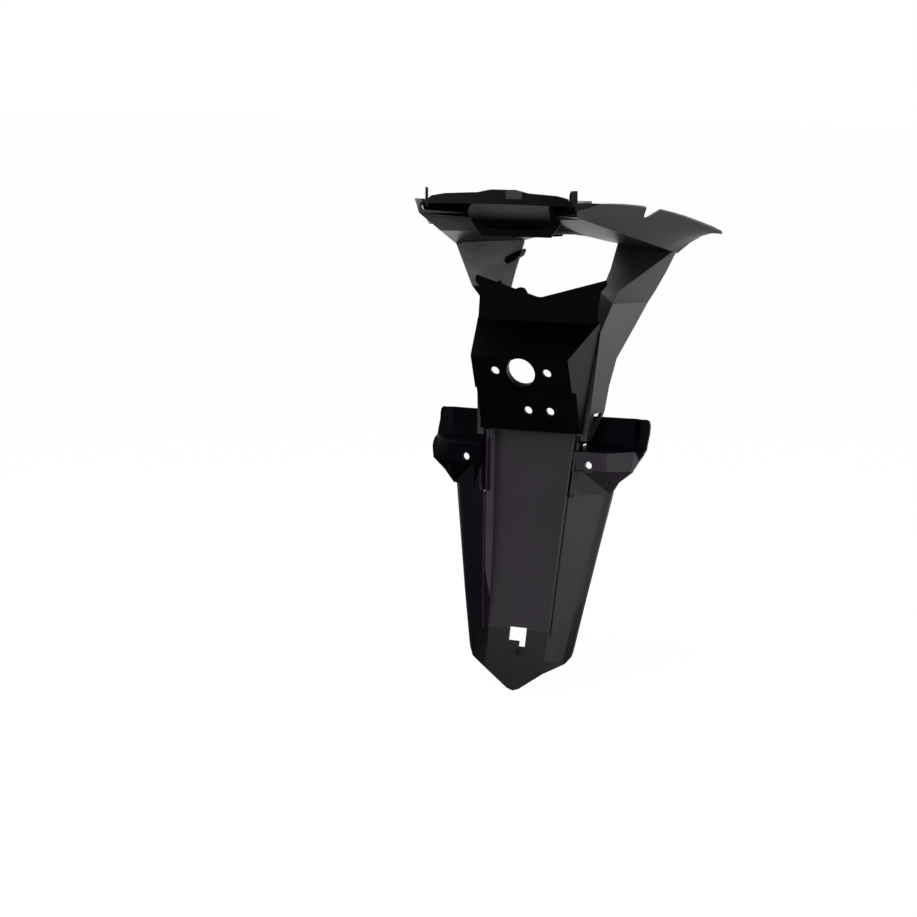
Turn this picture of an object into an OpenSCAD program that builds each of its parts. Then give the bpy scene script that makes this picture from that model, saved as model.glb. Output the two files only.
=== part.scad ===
// Tail tidy for a motorcycle: tray, arms and lamp housing above, winged and pointed flap below.
// X runs to the machine's right as seen from behind, Y runs forward, Z runs up.
// The origin is the middle of the four tray fixings, on the face that meets the tail of the machine.

/* [Mouldings] */
// Wall thickness of every moulding
wall = 3; // [2.6:0.1:3.4]

/* [Tray] */
// Width across the rims at the rear end
rim_rear_w = 146; // [140:1:150]
// Width across the front tips
rim_tip_w = 302; // [290:1:312]
// Reach behind the fixings
tray_back = 105; // [102:1:108]
// Reach of the tips ahead of the fixings
tip_ahead = 71; // [66:1:75]
// Height of the rims over the floor at the rear end
rim_h = 29; // [28:1:31]
// Fall of the rims from the rear end to the tips
rim_fall = 36; // [32:1:40]
// Width across the folds at the foot of the side walls, rear end
fold_rear_w = 154; // [150:1:158]
// Height of those folds over the floor, rear end
fold_h = 17; // [15:1:19]
// Half width of the rolled nose
nose_half = 39; // [37:1:41]
// Reach of the nose lip behind the fixings
nose_back = 80; // [78:1:82]
// How far the ends of the nose lip sit ahead of its middle
nose_sag = 9; // [7:1:11]
// Height of the nose lip
nose_h = 26; // [25:1:28]

/* [Window] */
// Half width of the opening between tray and housing
window_half = 48; // [46:1:50]
// How far ahead of the fixings its upper edge lies
window_ahead = 68; // [65:1:71]
// Drop of its upper corners below the floor
window_drop = 19; // [17:1:21]

/* [Tray fixings] */
// Side to side spacing
fix_w = 44; // [40:1:48]
// Front to back spacing
fix_l = 56; // [50:1:60]
// Bore for an M6 bolt
fix_bore = 6.6; // [6.4:0.1:7]
// Diameter of the boss round each bore
fix_boss_d = 18; // [16:1:20]
// Depth of each boss
fix_boss_h = 6; // [5:0.5:7]

/* [Arms] */
// Half width at the knee, where the gusset is widest
knee_half = 74; // [72:1:76]
// Height of the knee below the fixings
knee_drop = 58; // [56:1:60]
// Half width at the neck, beside the top of the lamp wedge
neck_half = 62.5; // [61.5:0.5:64]
// Half width at the foot
foot_half = 55.5; // [55:0.5:56.5]
// Depth of the gusset at the knee
gusset = 60; // [54:1:64]
// Height of the foot below the fixings
foot_drop = 195; // [193:1:196]

/* [Lamp housing] */
// Half width of the V edge
vee_half = 65.6; // [65:0.2:66]
// Height of the ends of the V edge below the fixings
vee_end_drop = 47; // [46:0.5:49]
// Height of the middle of the V edge below the fixings
vee_mid_drop = 65; // [63:1:67]
// Height at which the roof of the wedge leaves the back plate
roof_drop = 87.5; // [86:0.5:90]
// Half width of the wedge at its ridge
ridge_half = 48.6; // [48:0.2:49.4]
// How far the ridge stands behind the fixings
ridge_back = 55.4; // [54:0.2:57]
// Height of the ridge below the fixings
ridge_drop = 116.4; // [115:0.2:118]
// Height of the foot of the lamp face
face_drop = 147.2; // [146:0.2:149]
// Lean of the lamp face, its lower edge lying forward by this
face_lean = 10.7; // [9:0.1:12]
// Step between lamp face and lower face
face_step = 7; // [6:0.5:8]
// Height of the lower edge of the housing
housing_drop = 188.4; // [187:0.2:189]
// Spacing of the two lamp stud holes
stud_w = 52; // [50:1:54]
// Bore of the stud holes
stud_bore = 8.6; // [8:0.1:9]
// Bore for the lamp socket
socket_bore = 28; // [26:0.5:30]
// Depth of the collar behind that bore
socket_collar = 6; // [5:0.5:7]
// Bore of the fixing hole in the lower face
lower_bore = 8; // [7:0.5:9]
// Offset of the second hole in the lower face
second_hole_x = 22; // [20:1:24]

/* [Flap] */
// Half width across the channel rims, at the upper end
channel_half = 43.6; // [43:0.2:44]
// Narrowing of that half width for each millimetre down
channel_taper = 0.0672; // [0.064:0.0004:0.07]
// Depth of the channel at the upper end
channel_d = 16.5; // [15:0.5:18]
// Lean of the flap, rearward for each millimetre down
flap_lean = 0.185; // [0.17:0.005:0.2]
// Fall back of the side panels, forward for each millimetre outward
panel_fall = 0.37; // [0.34:0.01:0.4]
// The same for the chamfer along their outer edges
chamfer_fall = 1.1; // [0.9:0.1:1.3]
// Width of that chamfer
chamfer_w = 5; // [4:0.5:6]
// Half width over the side panels at their upper end
panel_half = 79.5; // [78:0.5:81]
// Half width over the side panels at their lower end
panel_low_half = 52.5; // [51:0.5:54]
// Height of the upper end of the side panels
panel_top_drop = 242; // [240:1:244]
// Height of the lower end of the side panels
panel_low_drop = 389; // [386:1:392]
// Height of the pointed tip
tip_drop = 428; // [424:1:432]

/* [Wings] */
// Half width over the wings
wing_half = 107; // [105:0.5:110]
// Height of the upper edge of the wings
wing_top_drop = 175; // [173:1:177]
// Share of the way down to the panels at which the shelf lies
shelf_share = 0.403; // [0.38:0.01:0.43]
// The same for the lower end of the plate pads
pad_share = 0.672; // [0.65:0.01:0.7]
// Width of the slot between channel rim and wing
slot_w = 2.8; // [2.4:0.1:3.2]
// Depth of that slot
slot_depth = 6; // [5:0.5:7]
// Spacing of the two plate holes
plate_w = 124; // [120:1:128]
// Height of the plate holes
plate_drop = 215.3; // [214:0.2:217]
// Bore of the plate holes
plate_bore = 7; // [6.4:0.1:7.5]
// How far the plate pads stand behind the fixings
pad_back = 36; // [34:0.5:38]

/* [Reflector window] */
// Width of the window near the tip
reflector_w = 17.6; // [16:0.2:19]
// Height of the window
reflector_h = 25.5; // [24:0.5:27]
// Height of the middle of the window
reflector_drop = 383; // [381:1:385]

/* [Fasteners] */
// Thread diameter of the joining screws
screw_d = 5; // [4.6:0.1:5.2]
// Head diameter
head_d = 9.5; // [9:0.1:10.5]
// Head height
head_h = 3.4; // [3:0.1:4]
// Length under the head
screw_l = 16; // [14:1:18]
// Outer diameter of the washers
washer_d = 13; // [12:0.5:14]
// Thickness of the washers
washer_t = 1.2; // [1:0.1:1.6]
// Clearance of the screws in what they pass through
screw_gap = 0.3; // [0.2:0.05:0.4]

/* [Hidden] */
round_fn = 48;

// Vector and grid helpers
function unit(v) = v / norm(v);
function total(list, i = 0) = i >= len(list) - 1 ? list[i] : list[i] + total(list, i + 1);
function mix(a, b, k) = a + (b - a) * k;
function flip_x(p) = [-p.x, p.y, p.z];
// A full row from its right half, which starts on the centre plane
function full_row(half) = concat([for (i = [len(half) - 1:-1:1]) flip_x(half[i])], half);
function quad_normal(g, r, c) = unit(cross(g[r + 1][c + 1] - g[r][c], g[r + 1][c] - g[r][c + 1]));
function normals_at(g, r, c) = [
    for (i = [max(r - 1, 0):min(r, len(g) - 2)])
        for (j = [max(c - 1, 0):min(c, len(g[0]) - 2)]) quad_normal(g, i, j)
];
// Offset that keeps the thickness of the wall across a fold
function wall_offset(g, r, c, t) =
    let (ns = normals_at(g, r, c), n = unit(total(ns)), k = total([for (m = ns) m * n]) / len(ns))
    n * t / max(k, 0.6);

// A wall of thickness t whose outer face is the grid of points g
module sheet(g, t) {
    rows = len(g);
    cols = len(g[0]);
    inner = [for (r = [0:rows - 1]) [for (c = [0:cols - 1]) g[r][c] + wall_offset(g, r, c, t)]];
    points = concat([for (row = g) each row], [for (row = inner) each row]);
    n = rows * cols;
    outer_faces = [
        for (r = [0:rows - 2]) for (c = [0:cols - 2])
            let (a = r * cols + c, b = a + 1, d = a + cols, e = d + 1) each [[a, b, e], [a, e, d]]
    ];
    inner_faces = [for (f = outer_faces) [f[2] + n, f[1] + n, f[0] + n]];
    loop = concat(
        [for (c = [0:cols - 1]) c],
        [for (r = [1:rows - 1]) r * cols + cols - 1],
        [for (c = [cols - 2:-1:0]) (rows - 1) * cols + c],
        [for (r = [rows - 2:-1:1]) r * cols]
    );
    m = len(loop);
    edge_faces = [
        for (i = [0:m - 1])
            let (a = loop[i], b = loop[(i + 1) % m]) each [[b, a, a + n], [b, a + n, b + n]]
    ];
    polyhedron(points, concat(outer_faces, inner_faces, edge_faces), convexity = 8);
}

// An outline from its right half, given as [x, z] points from the centre line outward
function full_outline(half) = concat(half, [for (i = [len(half) - 1:-1:0]) [-half[i].x, half[i].y]]);

module both_sides() {
    children();
    mirror([1, 0, 0]) children();
}

// A bar or bore along Y from y0 to y1
module along_y(d, x, z, y0, y1, fn = round_fn) {
    translate([x, y0, z]) rotate([-90, 0, 0]) cylinder(d = d, h = y1 - y0, $fn = fn);
}

// A plate parallel to the XZ plane, given as [x, z] points, from y0 to y1
module upright(points, y0, y1) {
    translate([0, y1, 0]) rotate([90, 0, 0]) linear_extrude(y1 - y0) polygon(points);
}

// A [y, z] outline drawn along X, w wide
module across(w) {
    rotate([90, 0, 90]) linear_extrude(w, center = true) children();
}

// Tray: the floor, the nose and the side walls are one folded wall, laid out in stations
// from the rear end (t = 0) to the front (t = 1)
fold_end = [113, 55, -25];
nose_share = 0.45;
nose_foot = 46;
flank_rear = [nose_half + 5, -nose_back + 6, nose_h - 10];
front_drop = 12;
nose_steps = 7;
floor_steps = 7;
stations = concat([for (i = [0:nose_steps]) i * nose_share / nose_steps],
                  [for (i = [1:floor_steps]) mix(nose_share, 1, i / floor_steps)]);
function rim(t) = [
    mix(rim_rear_w / 2, rim_tip_w / 2, pow(t, 0.75)) + 12 * t * (1 - t),
    mix(-tray_back, tip_ahead, t),
    rim_h - rim_fall * pow(t, 1.9)
];
function fold(t) = [
    mix(fold_rear_w / 2, fold_end.x, t),
    mix(-tray_back, fold_end.y, t),
    mix(fold_h, fold_end.z, t)
];
function flank(t) =
    let (s = pow(t, 1.3))
    [mix(flank_rear.x, window_half, s), mix(flank_rear.y, window_ahead, s),
     mix(flank_rear.z, -window_drop, pow(s, 0.6))];
function belly(t, u) =
    let (
        a = 90 * min(1, t / nose_share),
        lip_y = -nose_back + nose_sag * u * u,
        k = max(0, (t - nose_share) / (1 - nose_share))
    )
    [u * nose_half * (1 - 0.15 * sin(a)),
     k > 0 ? mix(-nose_foot, window_ahead, k) : -nose_foot + (lip_y + nose_foot) * cos(a),
     k > 0 ? mix(-wall, -front_drop - 3 * pow(u, 4), pow(k, 2.2)) : mix(nose_h, -wall, sin(a))];
// The side wall bulges a little between fold and rim, and flares at the front tips
function wall_point(t, k) = mix(fold(t), rim(t), k) + 4 * k * (1 - k) * ([mix(2.4, 0.8, t), -0.8, 0] + pow(t, 12) * [0.4, 2, 7]);
function tray_row(t) = full_row(concat([for (u = [0:0.25:1]) belly(t, u)], [flank(t)],
                                       [for (k = [0:0.25:1]) wall_point(t, k)]));

module at_fixings() {
    for (x = [-1, 1], y = [-1, 1]) translate([x * fix_w / 2, y * fix_l / 2, 0]) children();
}

module tray() {
    difference() {
        union() {
            sheet([for (t = stations) tray_row(t)], wall);
            at_fixings() translate([0, 0, -fix_boss_h]) cylinder(d = fix_boss_d, h = fix_boss_h, $fn = round_fn);
            bridge();
            bulkhead();
            both_sides() tab();
        }
        at_fixings() translate([0, 0, -3 * fix_boss_h]) cylinder(d = fix_bore, h = 4 * fix_boss_h, $fn = round_fn);
        both_sides() rim_notch();
    }
}

// Bridge over the pockets beside the nose, with its arched brow
bridge_front = -60;
brow_y = -92;
brow_r = 222;
brow_h = 13;
module bridge() {
    half = rim_rear_w / 2;
    translate([0, 0, nose_h]) linear_extrude(wall) difference() {
        translate([-half, -tray_back + 1]) square([2 * half, bridge_front + tray_back - 1]);
        translate([0, brow_y - brow_r]) circle(brow_r, $fn = 180);
    }
    intersection() {
        translate([0, brow_y - brow_r, nose_h]) difference() {
            cylinder(r = brow_r + wall, h = 20, $fn = 180);
            translate([0, 0, -1]) cylinder(r = brow_r, h = 22, $fn = 180);
        }
        upright(full_outline([[0, nose_h + brow_h], [12, nose_h + brow_h], [17, nose_h + brow_h - 1],
                              [25, nose_h + brow_h - 2.7], [55, nose_h + brow_h - 4], [66, nose_h + brow_h - 6],
                              [half - 1, nose_h + 2], [half - 1, nose_h]]), -112, -80);
    }
}

// Bulkhead that closes the pockets in front
module bulkhead() {
    upright([[-97, nose_h + 1], [-86.5, 6], [-45, 9], [-34, -5], [34, -5], [45, 9], [86.5, 6], [97, nose_h + 1]],
            bridge_front - wall, bridge_front);
}

tab_t = 2.5;
module tab() {
    translate([rim_rear_w / 2 - 2, -tray_back + 1, rim_h - 6]) rotate([0, 0, -27])
        translate([-tab_t / 2, 0, 0]) across(tab_t) polygon([[0, 0], [7.6, 0], [7.6, 17], [2.4, 17], [0.7, 15.4], [0, 13]]);
}

module rim_notch() {
    translate(rim(0.42)) rotate([0, 0, -33]) rotate([90, 0, 90]) linear_extrude(24, center = true)
        polygon([[-3, 4], [-3, -5], [-2, -8], [1, -9], [4, -8.3], [16, -1.5], [19, 1], [19, 4]]);
}

// Arms: a web that faces the rear and a gusset that runs forward from its outer edge
arm_lean = 0.145;
function web_y(z) = -10 + arm_lean * (z + 95);
gusset_dir = [sin(15), cos(15), -0.05];
arm_top = [111, 47, -23];
knee = [knee_half, 3, -knee_drop];
under_knee = [67, 8.5, -70];
neck = [neck_half, web_y(-95), -95];
foot = [foot_half, web_y(-foot_drop), -foot_drop];
web_inner = 49;
function arm_row(inner, edge, w) = [inner, edge, edge + w * gusset_dir];
function low_row(k, w) = let (e = mix(neck, foot, k)) arm_row([web_inner, web_y(e.z), e.z], e, w);
arm_rows = [
    arm_row([window_half, window_ahead, -window_drop], arm_top, 6),
    arm_row([window_half, 50, -42], mix(arm_top, knee, 0.5), 0.57 * gusset),
    arm_row([window_half - 2, 32, -62], knee, gusset),
    arm_row([window_half - 5, 24, -71], under_knee, 0.93 * gusset),
    arm_row([web_inner, web_y(-95) + 3, -98], neck, 0.83 * gusset),
    low_row(0.25, 0.51 * gusset),
    low_row(0.5, 0.405 * gusset),
    low_row(0.74, 0.365 * gusset),
    low_row(0.85, 0.27 * gusset),
    low_row(1, 0.1 * gusset)
];

// Screw points: [x, z, y of the joint face, y of the washer seat]
arm_point = [46, -105, web_y(-105) - 1, web_y(-105) + wall + 1.5];
foot_point = [50.5, -185, -2, 2.5];
tongue_point = [34, -172, -13.5, -9.5];
screw_bore = screw_d + 2 * screw_gap;
pad_d = 15;
boss_d = 10;

// Flat seat for a washer, cut back from the front
module spot_face(point) {
    along_y(pad_d, point[0], point[1], point[3], point[3] + 8);
}

module arm() {
    difference() {
        union() {
            sheet(arm_rows, wall);
            along_y(pad_d, arm_point[0], arm_point[1], arm_point[2], arm_point[3]);
            along_y(boss_d, foot_point[0], foot_point[1], web_y(-185) + 1, foot_point[2]);
        }
        along_y(screw_bore, arm_point[0], arm_point[1], arm_point[2] - 5, arm_point[3] + 5);
        spot_face(arm_point);
        along_y(screw_d, foot_point[0], foot_point[1], web_y(-185) + wall, foot_point[2] + 1);
        foot_pocket();
    }
}

// Three-cornered pocket in the gusset beside the foot
module foot_pocket() {
    translate([foot_point[0] + boss_d / 2 + 20.3, 0, 0]) across(40)
        polygon([[-14.5, -170.5], [-2.6, -170.5], [-19.5, -187.5]]);
}

// Cable hook on the left arm, at the inner edge of its web
module cable_hook() {
    upright([[-60, -38.5], [-56, -40.5], [-44, -33], [-41.6, -28.6], [-42.2, -26], [-45, -27.5], [-58, -33.5]], 46, 57);
}

module upper_mudguard() {
    color("dimgray") {
        tray();
        both_sides() arm();
        cable_hook();
    }
}

// Lamp housing: a back plate with a V edge, and a hollow wedge that carries the lamp
function back_y(z) = web_y(z) - wall - 0.1;
roof_foot = [back_y(-roof_drop), -roof_drop];
face_a = [-ridge_back, -ridge_drop];
face_b = [-ridge_back + face_lean, -face_drop];
low_a = [face_b.x + face_step, -face_drop - 2];
low_b = [back_y(-housing_drop) - 1, -housing_drop];
side_splay = 13.4;
side_draft = 4.2;
front_y = 30;
module wedge_outline() {
    roof_slope = (roof_foot.y - face_a.y) / (roof_foot.x - face_a.x);
    polygon([[front_y, roof_foot.y + (front_y - roof_foot.x) * roof_slope], face_a, face_b, low_a, low_b,
             [front_y, -housing_drop]]);
}
// Everything on the near side of the splayed right-hand side, less an inset
module inside_right(inset) {
    translate([ridge_half, -ridge_back, -ridge_drop]) rotate([0, 0, -side_splay]) rotate([0, side_draft, 0])
        translate([-400 - inset, -200, -200]) cube([400, 400, 400]);
}
module wedge(inset) {
    intersection() {
        across(200) offset(delta = -inset) wedge_outline();
        inside_right(inset);
        mirror([1, 0, 0]) inside_right(inset);
    }
}
// Space behind the back plate's front face
module behind_plate(gap) {
    across(300) polygon([[-200, 0], [back_y(0) + gap, 0], [back_y(-200) + gap, -200], [-200, -200]]);
}
plate_half = 61;
vee_lug = [[-25, -60], [-23, -57.5], [-20, -56.7], [-16, -57.3], [-13, -61], [-12, -68], [-25, -68]];
vee_nib = [[-44, -53.5], [-40.5, -50.6], [-39, -53], [-39, -60], [-44, -60]];
module back_plate() {
    half = [[0, -vee_mid_drop], [3, -vee_mid_drop + 0.3], [vee_half, -vee_end_drop], [vee_half + 0.5, -vee_end_drop - 5], [plate_half - 0.5, -vee_end_drop - 11.5],
            [plate_half - 0.5, -roof_drop + 1], [plate_half - 3, -roof_drop - 1], [plate_half - 9.5, -housing_drop]];
    intersection() {
        union() {
            upright(full_outline(half), -60, 40);
            upright(vee_lug, -60, 40);
            upright(vee_nib, -60, 40);
        }
        difference() {
            behind_plate(wall);
            behind_plate(0);
        }
    }
}
face_angle = 90 + atan(face_lean / (face_drop - ridge_drop));
low_angle = 90 + atan((low_b.x - low_a.x) / (low_a.y - low_b.y));
lamp_z = -130.6;
lower_z = -168.4;
function face_y(z) = face_a.x + (face_a.y - z) * face_lean / (face_drop - ridge_drop);
function low_y(z) = low_a.x + (low_a.y - z) * (low_b.x - low_a.x) / (low_a.y - low_b.y);
// A bar or bore square to one of the sloping faces, from back behind it to out in front of it
module on_face(d, x, y, z, angle, back, out) {
    translate([x, y, z]) rotate([angle, 0, 0]) translate([0, 0, -back]) cylinder(d = d, h = back + out, $fn = round_fn);
}
module face_bore(d, x, y, z, angle) {
    on_face(d, x, y, z, angle, 2 * wall, 2 * wall);
}
// How far the socket's cutters go past its collar
cut_past = 0.5;
// Keyway of the lamp socket
module socket_key() {
    translate([0, face_y(lamp_z), lamp_z]) rotate([face_angle, 0, 0]) rotate([0, 0, 130])
        translate([0, -2, -socket_collar - cut_past]) cube([socket_bore / 2 + 2, 4, 2 * (socket_collar + cut_past)]);
}
module lamp_housing() {
    color("black") difference() {
        union() {
            back_plate();
            intersection() {
                wedge(0);
                behind_plate(wall);
            }
        }
        difference() {
            wedge(wall);
            both_sides() along_y(boss_d, arm_point[0], arm_point[1], -80, arm_point[2]);
            both_sides() along_y(boss_d, tongue_point[0], tongue_point[1], -80, tongue_point[2]);
            on_face(socket_bore + 2 * wall, 0, face_y(lamp_z), lamp_z, face_angle, socket_collar, 0);
        }
        both_sides() along_y(screw_d, arm_point[0], arm_point[1], arm_point[2] - screw_l, 10);
        both_sides() along_y(screw_d, tongue_point[0], tongue_point[1], tongue_point[2] - 14, 10);
        for (x = [-1, 1]) face_bore(stud_bore, x * stud_w / 2, face_y(lamp_z), lamp_z, face_angle);
        on_face(socket_bore, 0, face_y(lamp_z), lamp_z, face_angle, socket_collar + cut_past, wall);
        socket_key();
        for (x = [0, second_hole_x]) face_bore(lower_bore, x, low_y(lower_z), lower_z, low_angle);
    }
}

// Flap: a channel between two rims, and side panels that fall back from the rims
flap_top = -189.5;
channel_end = -398;
lip_half = channel_half + 3;
function rim_x(z) = channel_half + (z + 195) * channel_taper;
function down(z) = min(1, max(0, (-195 - z) / (-195 - channel_end)));
function rim_y(z) = -29 + (z + 195) * flap_lean + 5 * pow(down(z), 3);
function channel_depth(z) = channel_d * (1 - pow(min(1, down(z) / 0.955), 3));
function floor_y(z) = rim_y(z) + channel_depth(z);
function panel_y(x, z) = rim_y(z) + (x - rim_x(z)) * panel_fall;
function chamfer_x(z) =
    mix(panel_half, panel_low_half, (-panel_top_drop - z) / (panel_low_drop - panel_top_drop)) - chamfer_w;
function flap_row(z) = full_row([
    [0, floor_y(z), z], [rim_x(z) - 1, floor_y(z), z],
    [rim_x(z), rim_y(z), z], [chamfer_x(z), panel_y(chamfer_x(z), z), z],
    [chamfer_x(z) + 16, panel_y(chamfer_x(z), z) + 16 * chamfer_fall, z]
]);
flap_rows = concat([flap_row(flap_top)], [for (i = [0:6]) flap_row(mix(-panel_top_drop, channel_end, i / 6))],
                   [flap_row(-436)]);
module flap_outline() {
    half = [[0, flap_top + 40], [lip_half, flap_top + 40], [lip_half, -panel_top_drop], [panel_half, -panel_top_drop],
            [panel_low_half, -panel_low_drop], [panel_low_half - 1.5, -panel_low_drop - 6],
            [panel_low_half - 6, -panel_low_drop - 12], [29, -410], [6, -tip_drop + 2], [0, -tip_drop]];
    upright(full_outline(half), -140, 60);
}

// A strip that follows the channel rim from z0 to z1, between two offsets from it, and its slot and groove
function strip_row(z, from, to, lift) = [[rim_x(z) + from, rim_y(z) + lift, z], [rim_x(z) + to, rim_y(z) + lift, z]];
module rim_strip(z0, z1, from, to, lift, depth) {
    steps = 4;
    sheet([for (i = [0:steps]) strip_row(mix(z0, z1, i / steps), from, to, lift)], depth);
}
slot_in = 1.2;
slot_out = slot_in + slot_w;
gutter_top_z = -foot_drop - 1.5;
slot_low_z = -panel_top_drop - 4;
groove_end_z = -375;
module gutter() {
    rim_strip(gutter_top_z, slot_low_z, -0.6, slot_out + wall, 0.4, slot_depth + wall);
    rim_strip(shelf_z - 2, pad_low_z - 1, slot_out + 0.6, slot_out + wall, -4.5, slot_depth + wall);
}
module gutter_slot() {
    rim_strip(flap_top + 4, slot_low_z, slot_in, slot_out, -3, slot_depth + 3);
    rim_strip(slot_low_z + 1, groove_end_z, slot_in + 0.6, slot_out - 0.6, -1, 3.2);
}

// Wings: the rear face in levels, each from the slot outward
wing_cols = [0, 55, 80, 93, 100, 112];
function wing_z(share) = -mix(wing_top_drop, panel_top_drop, share);
shelf_z = wing_z(shelf_share);
pad_low_z = wing_z(pad_share);
function wing_x(i, z) = i == 0 ? rim_x(z) + slot_out + 0.2 : wing_cols[i];
wing_levels = [
    [-wing_top_drop, [-1, 0, 1, 3, 0, 6]],
    [wing_z(shelf_share / 2), [-1, -1, 0, 1, -3, 5]],
    [shelf_z + 1, [-5, -4, -3, -5, -8, -2]],
    [shelf_z - 1, [-pad_back, -pad_back, -pad_back, -24, -16, -6]],
    [pad_low_z, [-pad_back, -pad_back, -pad_back, -29, -26, -22]],
    [pad_low_z - 1.5, [-pad_back + 1.5, -pad_back + 1.5, -pad_back + 1.5, -28, -25, -21]]
];
function wing_row(level) = [for (i = [0:len(wing_cols) - 1]) [wing_x(i, level[0]), level[1][i], level[0]]];
function wing_last(z) = [for (i = [0:len(wing_cols) - 1]) [wing_x(i, z), panel_y(wing_x(i, z), z) - 1.7, z]];
wing_outline = [
    [49, -wing_top_drop], [wing_half - 4, -wing_top_drop], [wing_half - 1, -wing_top_drop - 2],
    [wing_half, -wing_top_drop - 6], [wing_half - 0.5, wing_z(0.48)], [wing_half - 2, wing_z(0.54)],
    [wing_half - 6.5, wing_z(0.69)], [88, wing_z(0.84)], [panel_half + 0.5, -panel_top_drop - 1],
    [38, -panel_top_drop - 1], [38, wing_z(0.36)], [49, wing_z(0.36)]
];
plate_boss_d = 14;
module wing() {
    intersection() {
        sheet(concat([for (level = wing_levels) wing_row(level)], [wing_last(-panel_top_drop - 1)]), wall);
        upright(wing_outline, -60, 60);
    }
    // Boss round the plate bolt and pad round the foot screw
    along_y(plate_boss_d, plate_w / 2, -plate_drop, -pad_back - 0.4, -pad_back + 16);
    along_y(pad_d, foot_point[0], foot_point[1], foot_point[2], foot_point[3]);
    // Web that ties the wing to the channel rim
    translate([0, 0, wing_z(0.36)]) linear_extrude(9) polygon([[42, -28], [44.5, -28.5], [54, -4], [52, -1], [49, -1]]);
}

// Ears that carry the lower edge of the housing
ear_half = 7;
module ear() {
    x = tongue_point[0];
    z = tongue_point[1];
    upright([[x - ear_half, flap_top - 8], [x - ear_half, z + 6], [x - ear_half + 3, z + 10], [x + ear_half - 3, z + 10],
             [x + ear_half, z + 6], [x + ear_half, flap_top - 8]], -13, -13 + wall);
    along_y(pad_d, x, z, tongue_point[2], tongue_point[3]);
}

// A strip of the channel floor, from x0 to x1 and from z0 to z1, lifted and t thick
module floor_strip(x0, x1, z0, z1, lift, t) {
    steps = 3;
    sheet([for (i = [0:steps]) let (z = mix(z0, z1, i / steps)) [[x0, floor_y(z) + lift, z], [x1, floor_y(z) + lift, z]]], t);
}

// Catch that fills the lower half of the reflector window, with a blind slot
module reflector_catch() {
    low = -reflector_drop - reflector_h / 2;
    half = reflector_w / 2;
    split = 0.12 * reflector_w;
    difference() {
        union() {
            floor_strip(-half - 0.5, split, -reflector_drop + 1, low - 0.6, 0.5, wall);
            floor_strip(split - 1, half + 0.5, -reflector_drop - 0.15 * reflector_h, low - 0.6, 0.5, wall);
        }
        floor_strip(0.07 * reflector_w, 0.27 * reflector_w, low + 0.29 * reflector_h, low + 0.07 * reflector_h, -1, 3);
    }
}

// Ribs across the hidden side of the channel
rib_t = 2;
module channel_rib(z) {
    translate([-rim_x(z) + 2, floor_y(z) + wall - 1, z]) cube([2 * rim_x(z) - 4, 6, rib_t]);
}

module lower_flap() {
    color("#2e2a30") {
        difference() {
            union() {
                intersection() {
                    sheet(flap_rows, wall);
                    flap_outline();
                }
                both_sides() wing();
                both_sides() gutter();
                both_sides() ear();
                for (z = [-225, -265, -305, -345]) channel_rib(z);
            }
            both_sides() gutter_slot();
            both_sides() along_y(plate_bore, plate_w / 2, -plate_drop, -pad_back - 10, 40);
            both_sides() along_y(screw_bore, foot_point[0], foot_point[1], foot_point[2] - 3, foot_point[3] + 3);
            both_sides() spot_face(foot_point);
            both_sides() along_y(screw_bore, tongue_point[0], tongue_point[1], tongue_point[2] - 3, tongue_point[3] + 3);
            translate([-reflector_w / 2, -100, -reflector_drop - reflector_h / 2]) cube([reflector_w, 100, reflector_h]);
        }
        reflector_catch();
    }
}

module top_pad() {
    color("gray") intersection() {
        translate([0, brow_y - brow_r, nose_h + brow_h - 8]) difference() {
            cylinder(r = brow_r, h = 7, $fn = 180);
            translate([0, 0, -1]) cylinder(r = brow_r - 1.6, h = 9, $fn = 180);
        }
        translate([3.6, brow_y - 5, 0]) cube([15.6, 10, 60]);
    }
}

// Fasteners, seated on the joint points and driven from the front
module screw(point) {
    seat = point[3] + washer_t;
    difference() {
        union() {
            along_y(screw_d, point[0], point[1], seat - screw_l, seat + 0.5);
            along_y(head_d, point[0], point[1], seat, seat + head_h);
        }
        along_y(4.6, point[0], point[1], seat + 1.2, seat + head_h + 1, 6);
    }
}
module washer(point) {
    difference() {
        along_y(washer_d, point[0], point[1], point[3], point[3] + washer_t);
        along_y(screw_bore, point[0], point[1], point[3] - 1, point[3] + washer_t + 1);
    }
}
module left() { mirror([1, 0, 0]) children(); }
module arm_screw_left() { color("silver") left() screw(arm_point); }
module arm_screw_right() { color("silver") screw(arm_point); }
module arm_washer_left() { color("silver") left() washer(arm_point); }
module arm_washer_right() { color("silver") washer(arm_point); }
module tongue_screw_left() { color("silver") left() screw(tongue_point); }
module tongue_screw_right() { color("silver") screw(tongue_point); }
module tongue_washer_left() { color("silver") left() washer(tongue_point); }
module tongue_washer_right() { color("silver") washer(tongue_point); }
module foot_screw_left() { color("silver") left() screw(foot_point); }
module foot_screw_right() { color("silver") screw(foot_point); }
module foot_washer_left() { color("silver") left() washer(foot_point); }
module foot_washer_right() { color("silver") washer(foot_point); }

upper_mudguard();
lamp_housing();
lower_flap();
top_pad();
arm_screw_left();
arm_screw_right();
arm_washer_left();
arm_washer_right();
tongue_screw_left();
tongue_screw_right();
tongue_washer_left();
tongue_washer_right();
foot_screw_left();
foot_screw_right();
foot_washer_left();
foot_washer_right();
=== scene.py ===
# %% [markdown]
# # Tail tidy for a motorcycle
# Three black plastic mouldings carry the number plate and its lamp: an upper part with an open
# tray and two arms, a wedge that holds the lamp, and a long pointed flap with two wings.
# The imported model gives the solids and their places. This lesson gives them rounded edges,
# plastics with a moulded grain, black steel, foam, a camera and a plain studio.

# %% Load the solids
import math

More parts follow.
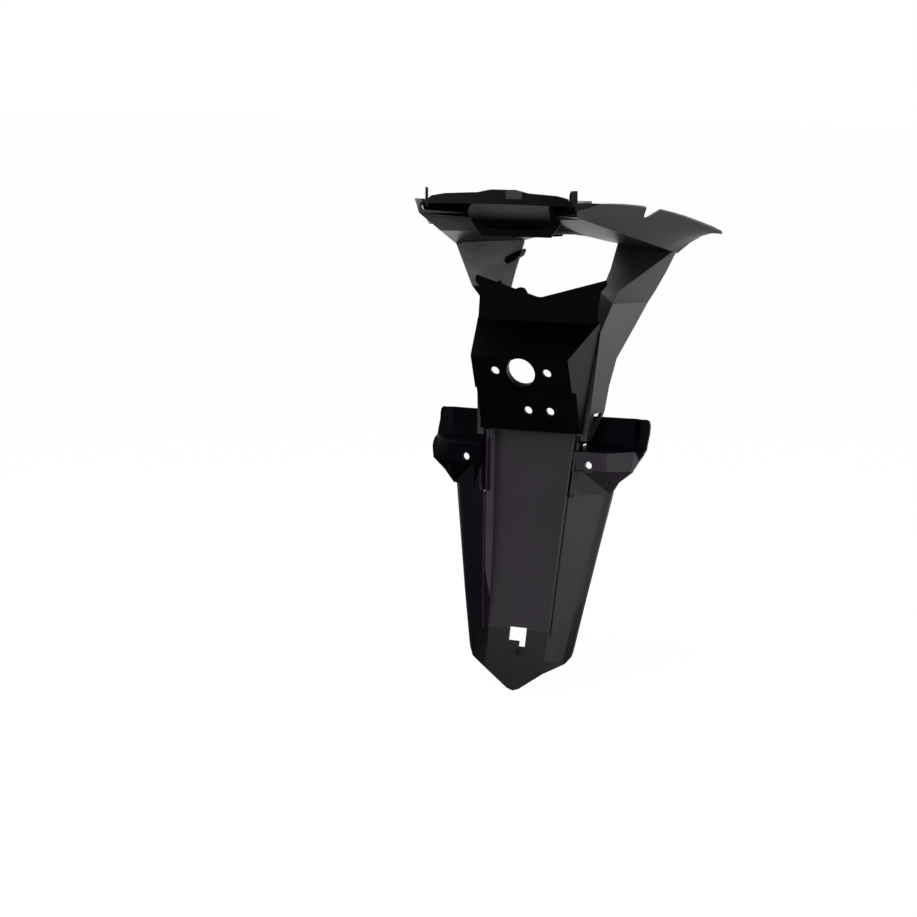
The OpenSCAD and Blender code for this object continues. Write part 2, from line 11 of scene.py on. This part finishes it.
import bmesh
import bpy
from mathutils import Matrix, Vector


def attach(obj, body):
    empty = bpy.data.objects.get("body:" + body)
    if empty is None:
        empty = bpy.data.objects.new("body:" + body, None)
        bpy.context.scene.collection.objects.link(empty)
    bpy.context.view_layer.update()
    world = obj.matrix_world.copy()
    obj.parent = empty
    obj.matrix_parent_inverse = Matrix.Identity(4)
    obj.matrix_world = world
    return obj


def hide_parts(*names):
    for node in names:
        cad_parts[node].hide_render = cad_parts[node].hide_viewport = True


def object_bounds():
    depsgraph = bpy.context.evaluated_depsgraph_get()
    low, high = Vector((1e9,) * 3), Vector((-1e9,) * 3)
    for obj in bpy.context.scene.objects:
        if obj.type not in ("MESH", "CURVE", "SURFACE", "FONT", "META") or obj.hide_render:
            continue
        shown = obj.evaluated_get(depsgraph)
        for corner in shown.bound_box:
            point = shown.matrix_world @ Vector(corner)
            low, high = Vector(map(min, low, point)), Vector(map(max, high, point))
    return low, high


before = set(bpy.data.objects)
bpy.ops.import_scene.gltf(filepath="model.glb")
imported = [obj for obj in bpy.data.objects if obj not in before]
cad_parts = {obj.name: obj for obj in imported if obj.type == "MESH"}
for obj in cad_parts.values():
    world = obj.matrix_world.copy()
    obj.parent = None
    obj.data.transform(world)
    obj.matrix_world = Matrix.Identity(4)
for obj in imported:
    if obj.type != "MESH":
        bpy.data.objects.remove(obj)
cad_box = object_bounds()
mm = 0.001
print("solids:", sorted(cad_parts))

# %% [markdown]
# ## The camera
# The photograph was taken from behind the machine, about 25 degrees to its right and a little
# above. A camera is easiest to reason about as a direction and a distance, so both are worked
# out here from two angles, and the lens follows from how many picture widths the distance is.

# %% Camera
azimuth = math.radians(25)
elevation = math.radians(9.5)
distance = 2.350
side_step = -0.07426
aim = Vector((0, -0.010, -0.217))
film_width = 36
lens_widths = 2500 / 917
farthest_seen = 60

toward_camera = Vector((math.sin(azimuth) * math.cos(elevation),
                        -math.cos(azimuth) * math.cos(elevation),
                        math.sin(elevation)))
to_the_right = Vector((math.cos(azimuth), math.sin(azimuth), 0))
camera_data = bpy.data.cameras.new("camera")
camera_data.sensor_width = film_width
camera_data.lens = film_width * lens_widths
camera_data.clip_end = farthest_seen
camera = bpy.data.objects.new("camera", camera_data)
bpy.context.scene.collection.objects.link(camera)
camera.location = aim + distance * toward_camera + side_step * to_the_right
camera.rotation_euler = (-toward_camera).to_track_quat("-Z", "Y").to_euler()
bpy.context.scene.camera = camera
print("camera at", [round(c, 3) for c in camera.location], "lens", round(camera_data.lens, 1))


# %% [markdown]
# ## A material made of nodes
# A small helper adds a node and links it in one line, so that each finish below reads from top
# to bottom as a recipe: position, grain, roughness, shader.

# %% Node helper
class Recipe:
    """The nodes of a material or of the world, added one at a time."""

    def __init__(self, owner, output="ShaderNodeOutputMaterial"):
        self.owner = owner
        owner.use_nodes = True
        self.tree = owner.node_tree
        self.tree.nodes.clear()
        self.output = self.tree.nodes.new(output)

    def add(self, kind, links=None, **settings):
        node = self.tree.nodes.new(kind)
        for key, value in settings.items():
            if key in node.inputs:
                node.inputs[key].default_value = value
            else:
                setattr(node, key, value)
        for socket, source in (links or {}).items():
            self.tree.links.new(source, node.inputs[socket])
        return node

    def ramp(self, source, low, high, at=(0.3, 0.7)):
        node = self.add("ShaderNodeValToRGB", {"Fac": source})
        for element, place, value in zip(node.color_ramp.elements, at, (low, high)):
            element.position = place
            element.color = (*value, 1) if isinstance(value, tuple) else (value, value, value, 1)
        return node.outputs["Color"]

    def math(self, operation, first, second):
        node = self.add("ShaderNodeMath", {0: first}, operation=operation)
        if isinstance(second, (int, float)):
            node.inputs[1].default_value = second
        else:
            self.tree.links.new(second, node.inputs[1])
        return node.outputs[0]

    def largest(self, first, *others):
        for other in others:
            first = self.math("MAXIMUM", first, other)
        return first

    def finish(self, shader):
        self.tree.links.new(shader, self.output.inputs["Surface"])
        return self.owner


# %% [markdown]
# ## The plastics
# All three mouldings are black polypropylene with a fine satin grain from the mould. The grain is
# two noises: one of about half a millimetre for the bump, and a wide soft one that varies colour
# and roughness, because flow and cooling never leave a large face even. The flap is a slightly
# warmer black than the upper part, and the lamp housing is a deeper black with hardly any gloss,
# which on its rear faces is painted shade as well.

# %% Plastic recipe
grain_scale = 1900
grain_height = 0.2 * mm


def plastic(name, deep, palest, roughness, specular, cloud_scale=14, lit_above=None):
    r = Recipe(bpy.data.materials.new(name))
    place = r.add("ShaderNodeTexCoord").outputs["Object"]
    grain = r.add("ShaderNodeTexNoise", {"Vector": place},
                  Scale=grain_scale, Detail=3, Roughness=0.6)
    cloud = r.add("ShaderNodeTexNoise", {"Vector": place},
                  Scale=cloud_scale, Detail=5, Roughness=0.55)
    colour = r.ramp(cloud.outputs["Fac"], deep, palest, (0.35, 0.68))
    # An optional painted highlight: above a given height the colour turns towards a paler one,
    # standing in for light from above.
    if lit_above:
        pale, start, end = lit_above
        height = r.add("ShaderNodeSeparateXYZ", {"Vector": place}).outputs["Z"]
        highlight_mask = r.add("ShaderNodeMapRange", {"Value": height}, interpolation_type="SMOOTHSTEP")
        highlight_mask.inputs["From Min"].default_value = start
        highlight_mask.inputs["From Max"].default_value = end
        mix = r.add("ShaderNodeMix", {0: highlight_mask.outputs[0], 6: colour}, data_type="RGBA")
        mix.inputs[7].default_value = (*pale, 1)
        colour = mix.outputs[2]
    rough = r.ramp(cloud.outputs["Fac"], *roughness)
    bump = r.add("ShaderNodeBump", {"Height": grain.outputs["Fac"]},
                 Strength=0.10, Distance=grain_height)
    shader = r.add("ShaderNodeBsdfPrincipled",
                   {"Base Color": colour, "Roughness": rough, "Normal": bump.outputs["Normal"]})
    shader.inputs["Specular IOR Level"].default_value = specular
    return r.finish(shader.outputs["BSDF"])


# %% [markdown]
# Parts of a moulding are coloured apart too, as painted light and shade: the wings, the tray's
# belly and the pockets are painted dark and dull as painted shade, and the left wall of the channel
# and the forks of the arms are painted paler as painted light. Each of these has its own shine,
# which is a plain number on the shader, so each is a material of its own. The columns are the
# darkest and the palest colour, the range of roughness, and the shine.

# %% Plastics
satin = (0.34, 0.42)
flap_satin = (0.36, 0.44)
fine_cloud = 40
# Painted highlight: the nose turns paler between these two heights.
nose_painted_highlight = ((0.14, 0.14, 0.14), 9 * mm, 27 * mm)

upper_plastic = plastic(
    "upper_plastic", (0.0030, 0.0030, 0.0032), (0.0060, 0.0060, 0.0066), satin, 0.5)
# Painted shade: a darker copy with little shine for the belly under the tray, the pockets beside
# the nose and the hook in the window.
shaded_belly_plastic = plastic(
    "shaded_belly_plastic", (0.0008, 0.0008, 0.0010), (0.0014, 0.0014, 0.0016), satin, 0.03)
# Painted shade and a painted highlight: dark like the belly below, paler towards the top.
nose_shade_highlight_plastic = plastic(
    "nose_shade_highlight_plastic", (0.0008, 0.0008, 0.0010), (0.0014, 0.0014, 0.0016), satin, 0.05,
    lit_above=nose_painted_highlight)
# Painted light: a paler, rougher copy for the faces that look down at the tray's left end.
lit_underside_plastic = plastic(
    "lit_underside_plastic", (0.016, 0.016, 0.017), (0.026, 0.026, 0.027), (0.66, 0.76), 0.15)
# Painted shade: a darker copy for the brow along the tray's rear edge.
shaded_brow_plastic = plastic(
    "shaded_brow_plastic", (0.0020, 0.0020, 0.0022), (0.0040, 0.0040, 0.0044), satin, 0.12)
# Painted light: a pale copy for the upward fork of the left arm, standing in for the lamp overhead
# mirrored there.
lit_fork_plastic = plastic(
    "lit_fork_plastic", (0.34, 0.34, 0.34), (0.48, 0.48, 0.48), (0.5, 0.6), 0.3, fine_cloud)
# Painted light: a paler copy for the upward fork of the right arm.
lit_right_fork_plastic = plastic(
    "lit_right_fork_plastic", (0.038, 0.038, 0.039), (0.052, 0.052, 0.053), satin, 0.25)
# A deeper black with hardly any shine; on the housing's rear faces this is painted shade as well.
# The sides take a shinier copy, which catches the right lamp.
housing_plastic = plastic(
    "housing_plastic", (0.0006, 0.0004, 0.0008), (0.0012, 0.0008, 0.0018), satin, 0.04)
wedge_plastic = plastic(
    "wedge_plastic", (0.0010, 0.0008, 0.0012), (0.0016, 0.0012, 0.0020), satin, 0.16)
flap_plastic = plastic(
    "flap_plastic", (0.0068, 0.0024, 0.0082), (0.0095, 0.0042, 0.0112), flap_satin, 0.43)
# Painted shade: a darker, less shiny copy for the point of the flap, darker towards the bottom.
shaded_point_plastic = plastic(
    "shaded_point_plastic", (0.0050, 0.0020, 0.0062), (0.0070, 0.0034, 0.0084), flap_satin, 0.30)
# Painted shade: a dark copy with little shine for the wings.
shaded_wing_plastic = plastic(
    "shaded_wing_plastic", (0.0014, 0.0006, 0.0020), (0.0026, 0.0012, 0.0034), satin, 0.03)
# Painted shade: a darker copy for the left side panel, which turns from the light.
shaded_panel_plastic = plastic(
    "shaded_panel_plastic", (0.0034, 0.0014, 0.0044), (0.0050, 0.0024, 0.0062), satin, 0.25)
# Painted highlight: a pale copy for the left wall of the channel.
lit_channel_wall_plastic = plastic(
    "lit_channel_wall_plastic", (0.11, 0.09, 0.115), (0.15, 0.13, 0.155), (0.4, 0.5), 0.5, fine_cloud)
print("plastics:", sum(material.name.endswith("_plastic") for material in bpy.data.materials))


# %% [markdown]
# ## Steel and foam
# The screws and washers are black zinc plated, so they hardly show, as in the photograph.
# The pad is a strip of grey foam, which is all cells: a small Voronoi pattern darkens its pores.

# %% Steel and foam
def black_zinc():
    r = Recipe(bpy.data.materials.new("black_zinc"))
    place = r.add("ShaderNodeTexCoord").outputs["Object"]
    cloud = r.add("ShaderNodeTexNoise", {"Vector": place}, Scale=260, Detail=4).outputs["Fac"]
    colour = r.ramp(cloud, (0.030, 0.030, 0.031), (0.055, 0.055, 0.056))
    rough = r.ramp(cloud, 0.24, 0.42)
    shader = r.add("ShaderNodeBsdfPrincipled", {"Base Color": colour, "Roughness": rough},
                   Metallic=1)
    return r.finish(shader.outputs["BSDF"])


def foam():
    r = Recipe(bpy.data.materials.new("pad_foam"))
    place = r.add("ShaderNodeTexCoord").outputs["Object"]
    cells = r.add("ShaderNodeTexVoronoi", {"Vector": place}, Scale=900).outputs["Distance"]
    colour = r.ramp(cells, (0.070, 0.070, 0.070), (0.015, 0.015, 0.015), (0.2, 0.75))
    bump = r.add("ShaderNodeBump", {"Height": cells}, Strength=0.5, Distance=0.4 * mm)
    shader = r.add("ShaderNodeBsdfPrincipled",
                   {"Base Color": colour, "Normal": bump.outputs["Normal"]}, Roughness=0.9)
    return r.finish(shader.outputs["BSDF"])


screw_steel = black_zinc()
pad_foam = foam()
print("small finishes:", screw_steel.name, pad_foam.name)

# %% [markdown]
# ## Rounded mouldings
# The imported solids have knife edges, and no moulding has. Each one is copied, its loose triangles
# are merged, flat neighbours are joined, and every fold sharper than a set angle gets a small
# round edge with the bevel operator. The round edges catch the light as thin bright lines, which
# is most of what makes black plastic readable. Before the bevel each face gets its finish, by
# where it is and which way it looks, and the bevel hands it on to the new edge. A later finish
# in the list goes over an earlier one.

# %% Round the edges
merge_distance = 0.02 * mm
flat_angle = math.radians(1.2)
sharp_angle = math.radians(28)
shortest_fold = 0.2 * mm
edge_radius = 0.6 * mm


def cut_across(bm, place):
    """Split the faces that cross x = place, so that a finish can end there."""
    bmesh.ops.bisect_plane(bm, geom=bm.verts[:] + bm.edges[:] + bm.faces[:], dist=0.001 * mm,
                           plane_co=(place, 0, 0), plane_no=(1, 0, 0))


def give_finishes(bm, finishes):
    for face in bm.faces:
        middle, looks, area = face.calc_center_median(), face.normal, face.calc_area()
        for number, (_, chosen) in enumerate(finishes):
            if chosen(middle, looks, area):
                face.material_index = number


def rounded(node, name, finishes, before=None, cuts=()):
    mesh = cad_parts[node].data.copy()
    mesh.name = name
    mesh.materials.clear()
    for material, _ in finishes:
        mesh.materials.append(material)
    bm = bmesh.new()
    bm.from_mesh(mesh)
    bmesh.ops.remove_doubles(bm, verts=bm.verts, dist=merge_distance)
    if before:
        before(bm)
    bmesh.ops.dissolve_limit(bm, angle_limit=flat_angle, verts=bm.verts, edges=bm.edges,
                             use_dissolve_boundaries=False)
    for place in cuts:
        cut_across(bm, place)
    bm.normal_update()
    give_finishes(bm, finishes)
    for edge in bm.edges:
        edge.smooth = edge.calc_face_angle(0) < sharp_angle
    folds = [e for e in bm.edges if not e.smooth and e.calc_length() > shortest_fold]
    bmesh.ops.bevel(bm, geom=folds, offset=edge_radius, offset_type="OFFSET", segments=3,
                    profile=0.5, affect="EDGES", clamp_overlap=True, material=-1)
    for face in bm.faces:
        face.smooth = True
    bm.to_mesh(mesh)
    bm.free()
    piece = bpy.data.objects.new(name, mesh)
    bpy.context.scene.collection.objects.link(piece)
    even = piece.modifiers.new("even shading", "WEIGHTED_NORMAL")
    even.keep_sharp = True
    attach(piece, "root")
    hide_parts(node)
    print(name, len(mesh.polygons), "faces, round edges", len(folds))


# %% [markdown]
# ## Zones
# A zone picks faces. It is a box in millimetres for the middle of a face, with limits on the
# direction in which the face looks: 1 is straight along an axis, and -1 straight against it.
# One small face can be told from a large one beside it by its area in square millimetres.

# %% Zones
anything = (-math.inf, math.inf)


def over(limit):
    return limit, math.inf


def under(limit):
    return -math.inf, limit


def zone(x=anything, y=anything, z=anything,
         looks_x=anything, looks_y=anything, looks_z=anything, area=anything):
    limits = (x, y, z, looks_x, looks_y, looks_z, area)

    def chosen(middle, looks, face_area):
        measures = (*(part / mm for part in middle), *looks, face_area / mm ** 2)
        return all(low < measure < high for measure, (low, high) in zip(measures, limits))
    return chosen


def either(first, second):
    return lambda middle, looks, area: first(middle, looks, area) or second(middle, looks, area)


everywhere = zone()
print("everywhere takes a face at the origin:", everywhere(Vector(), Vector((0, 0, 1)), 0))

# %% [markdown]
# ## Upper part and lamp housing
# Below the tray the belly, the pockets beside the nose and the hook in the window are painted dark
# and dull: painted shade. The nose between its two ends is dark below, painted shade, and painted
# paler towards the top, a painted highlight. The fork of each arm looks up and is painted paler,
# as painted light from above: much paler on the left, less on the right. The brow at the tray's
# rear edge is painted darker, painted shade, and the faces that look down at the tray's left end
# paler and rougher, painted light. The lamp housing is dull all over but for its two sides, which
# take a shinier copy that catches the right lamp; its dull rear faces are painted shade.

# %% Upper part and lamp housing
nose_ends = (-43, 36)
fork_heights = (-62, -23)

upper_finishes = [
    (upper_plastic, everywhere),
    (shaded_belly_plastic, zone(x=(-62, 44), z=(-14, 22), looks_y=under(0.3), looks_z=under(0.3))),
    (shaded_belly_plastic, zone(x=(-118, 75), y=over(-88), z=(4, 30),
                         looks_y=under(-0.2), looks_z=over(-0.5))),
    (nose_shade_highlight_plastic, zone(x=nose_ends, y=under(-40), z=(-4, 24), looks_y=under(-0.4))),
    (shaded_brow_plastic, zone(x=(-90, 90), y=under(-80), z=over(24), looks_y=under(-0.3))),
    (lit_fork_plastic, zone(x=under(-52), y=under(62), z=fork_heights, looks_z=over(0.5))),
    (lit_right_fork_plastic, zone(x=over(52), y=under(62), z=fork_heights, looks_z=over(0.5))),
    (shaded_belly_plastic, zone(x=(-61, -40), y=(44, 58), z=(-43, -24), area=under(220))),
    (lit_underside_plastic, zone(x=under(-44), y=under(-15), z=over(-30), looks_z=under(-0.7))),
]
rounded("upper_mudguard", "upper_moulding", upper_finishes,
        cuts=[end * mm for end in nose_ends])

housing_finishes = [
    (housing_plastic, everywhere),
    (wedge_plastic, either(zone(y=under(-14), looks_x=under(-0.6)),
                           zone(y=under(-14), looks_x=over(0.6)))),
]
rounded("lamp_housing", "housing_moulding", housing_finishes)

# %% [markdown]
# ## Flap
# The wings are painted dark and dull, the left side panel, which turns from the light, and the
# point are painted darker, all painted shade, and the left wall of the channel is painted pale, a
# painted highlight. Each ear carries a hole for a bolt of the number plate, through a long boss.
# Its far end is drawn back to the ear's own thickness here, so that light shows through the hole.

# %% Flap
bolt_x = 62 * mm
bolt_z = -215.3 * mm
boss_reach = 7.2 * mm
boss_end_from = -28 * mm
boss_end_to = -32.6 * mm


def trim_bosses(bm):
    ends = [v for v in bm.verts if abs(abs(v.co.x) - bolt_x) < boss_reach
            and abs(v.co.z - bolt_z) < boss_reach and v.co.y > boss_end_from]
    for corner in ends:
        corner.co.y = boss_end_to
    print("boss corners drawn back:", len(ends))


flap_finishes = [
    (flap_plastic, everywhere),
    (shaded_point_plastic, zone(z=under(-374))),
    (shaded_wing_plastic, either(zone(x=under(-44), z=over(-234)), zone(x=over(44), z=over(-207)))),
    (shaded_panel_plastic, zone(x=under(-36), z=under(-232), looks_x=under(-0.15))),
    (lit_channel_wall_plastic, zone(x=(-42, -33), looks_x=over(0.8))),
]
rounded("lower_flap", "flap_moulding", flap_finishes, before=trim_bosses)

# %% [markdown]
# ## The small pieces
# Screws, washers and the pad keep their solids, and take their finishes on their own slots.

# %% Finishes on the small pieces
small_pieces = {name: screw_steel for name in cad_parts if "screw" in name or "washer" in name}
small_pieces["top_pad"] = pad_foam
for name, finish in small_pieces.items():
    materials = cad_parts[name].data.materials
    materials.clear()
    materials.append(finish)
print("small pieces:", len(small_pieces))

# %% [markdown]
# ## A studio that is darker on one side
# Black plastic shows little colour of its own: what the eye reads is the room in its gloss. The
# photograph's room is white in front, to the right and above, and dark to the left, which is why
# the left faces of the flap are nearly black. The shade below says how bright the room is in a
# direction, and both the world and the floor use it. Camera rays see plain white everywhere.

# %% Brightness of the room
dark_side = Vector((-0.90, -0.28, -0.33)).normalized()


def room_shade(r, direction):
    length_one = r.add("ShaderNodeVectorMath", {0: direction}, operation="NORMALIZE")
    towards = r.add("ShaderNodeVectorMath", {0: length_one.outputs["Vector"]},
                    operation="DOT_PRODUCT")
    towards.inputs[1].default_value = dark_side
    return r.ramp(towards.outputs["Value"], 1.0, 0.04, (0.45, 0.92))


def seen_rays(r):
    path = r.add("ShaderNodeLightPath").outputs
    camera_ray = path["Is Camera Ray"]
    return camera_ray, r.largest(camera_ray, path["Is Glossy Ray"], path["Is Transmission Ray"])


print("dark side:", [round(part, 2) for part in dark_side])


# %% [markdown]
# ## Floor
# The floor is pale and keeps the shadow. Rays from the camera, from gloss and from glass see mostly
# light that comes from the floor itself, so that it ends in the same white as the world behind it.
# In gloss the floor's own glow is painted darker close round the model, a painted shadow where the
# model hides the lamps from it.

# %% Pale floor
floor_size = 30
floor_gap = 0.5 * mm
camera_glow = 1.05
camera_matt = 0.07


def pale_floor():
    r = Recipe(bpy.data.materials.new("pale_floor"))
    place = r.add("ShaderNodeTexCoord").outputs["Object"]
    camera_ray, seen = seen_rays(r)
    away = r.add("ShaderNodeVectorMath", {0: place}, operation="LENGTH").outputs["Value"]
    # Painted shadow in the floor's glow, darker close round the model.
    near_painted_shadow = r.ramp(away, 0.30, 1.0, (0.32, 0.60))
    gloss = r.math("MULTIPLY", near_painted_shadow, room_shade(r, place))
    strength = r.largest(gloss, r.math("MULTIPLY", camera_ray, camera_glow))
    glow = r.add("ShaderNodeEmission", {"Strength": strength}, Color=(1, 1, 1, 1))
    matt = r.add("ShaderNodeBsdfDiffuse", Color=(0.82, 0.82, 0.82, 1))
    share = r.math("SUBTRACT", seen, r.math("MULTIPLY", camera_ray, camera_matt))
    both = r.add("ShaderNodeMixShader", {0: share, 1: matt.outputs[0], 2: glow.outputs[0]})
    return r.finish(both.outputs[0])


bpy.ops.mesh.primitive_plane_add(size=floor_size, location=(0, 0, cad_box[0][2] - floor_gap))
floor = bpy.context.object
floor.name = "floor"
floor.data.materials.append(pale_floor())
floor.active_material.cycles.emission_sampling = "NONE"
print("floor at", round(floor.location.z, 4))


# %% [markdown]
# ## World
# The world is the same white room. It gives the model a soft light at a quarter of full strength,
# and shows at full strength in gloss.

# %% World
def white_room(ambient):
    r = Recipe(bpy.data.worlds.new("studio"), "ShaderNodeOutputWorld")
    direction = r.add("ShaderNodeTexCoord").outputs["Generated"]
    camera_ray, seen = seen_rays(r)
    shade = room_shade(r, direction)
    lit = r.add("ShaderNodeBackground", {"Color": shade}, Strength=ambient)
    bright = r.add("ShaderNodeBackground", {"Color": r.largest(shade, camera_ray)}, Strength=1.0)
    both = r.add("ShaderNodeMixShader", {0: seen, 1: lit.outputs[0], 2: bright.outputs[0]})
    return r.finish(both.outputs[0])


bpy.context.scene.world = white_room(ambient=0.25)
bpy.context.scene.world.cycles.sampling_method = "NONE"
print("world:", bpy.context.scene.world.name)


# %% [markdown]
# ## Lamps
# A soft lamp hangs high over the model, a little to the camera's side, and lights the faces that
# look up. A second one stands beyond the model, low and to the right, and is what the gussets and
# the lamp housing's side show. A third, behind the camera, fills in. Their power follows from how
# bright each should look in a mirror: a lamp of area A that looks L times as bright as white paper
# in full light has a power of pi times L times A.

# %% Lamps
def soft_lamp(name, place, size, brightness):
    lamp_data = bpy.data.lights.new(name, "AREA")
    lamp_data.shape = "RECTANGLE"
    lamp_data.size, lamp_data.size_y = size
    lamp_data.energy = math.pi * brightness * size[0] * size[1]
    lamp = bpy.data.objects.new(name, lamp_data)
    bpy.context.scene.collection.objects.link(lamp)
    lamp.location = place
    lamp.rotation_euler = (lamp_target - Vector(place)).to_track_quat("-Z", "Y").to_euler()
    print(name, "lamp,", round(lamp_data.energy, 1), "W")


lamp_target = Vector((0, -0.02, -0.2))
soft_lamp("overhead", (-0.1, -0.55, 1.05), (1.1, 1.1), 3.0)
soft_lamp("right", (1.5, 1.3, -0.35), (1.1, 1.1), 1.45)
soft_lamp("fill", (1.5, -2.9, 0.5), (2.0, 1.6), 1.25)

# %% Finish
bpy.context.scene.view_settings.view_transform = "Standard"
bpy.context.view_layer.update()
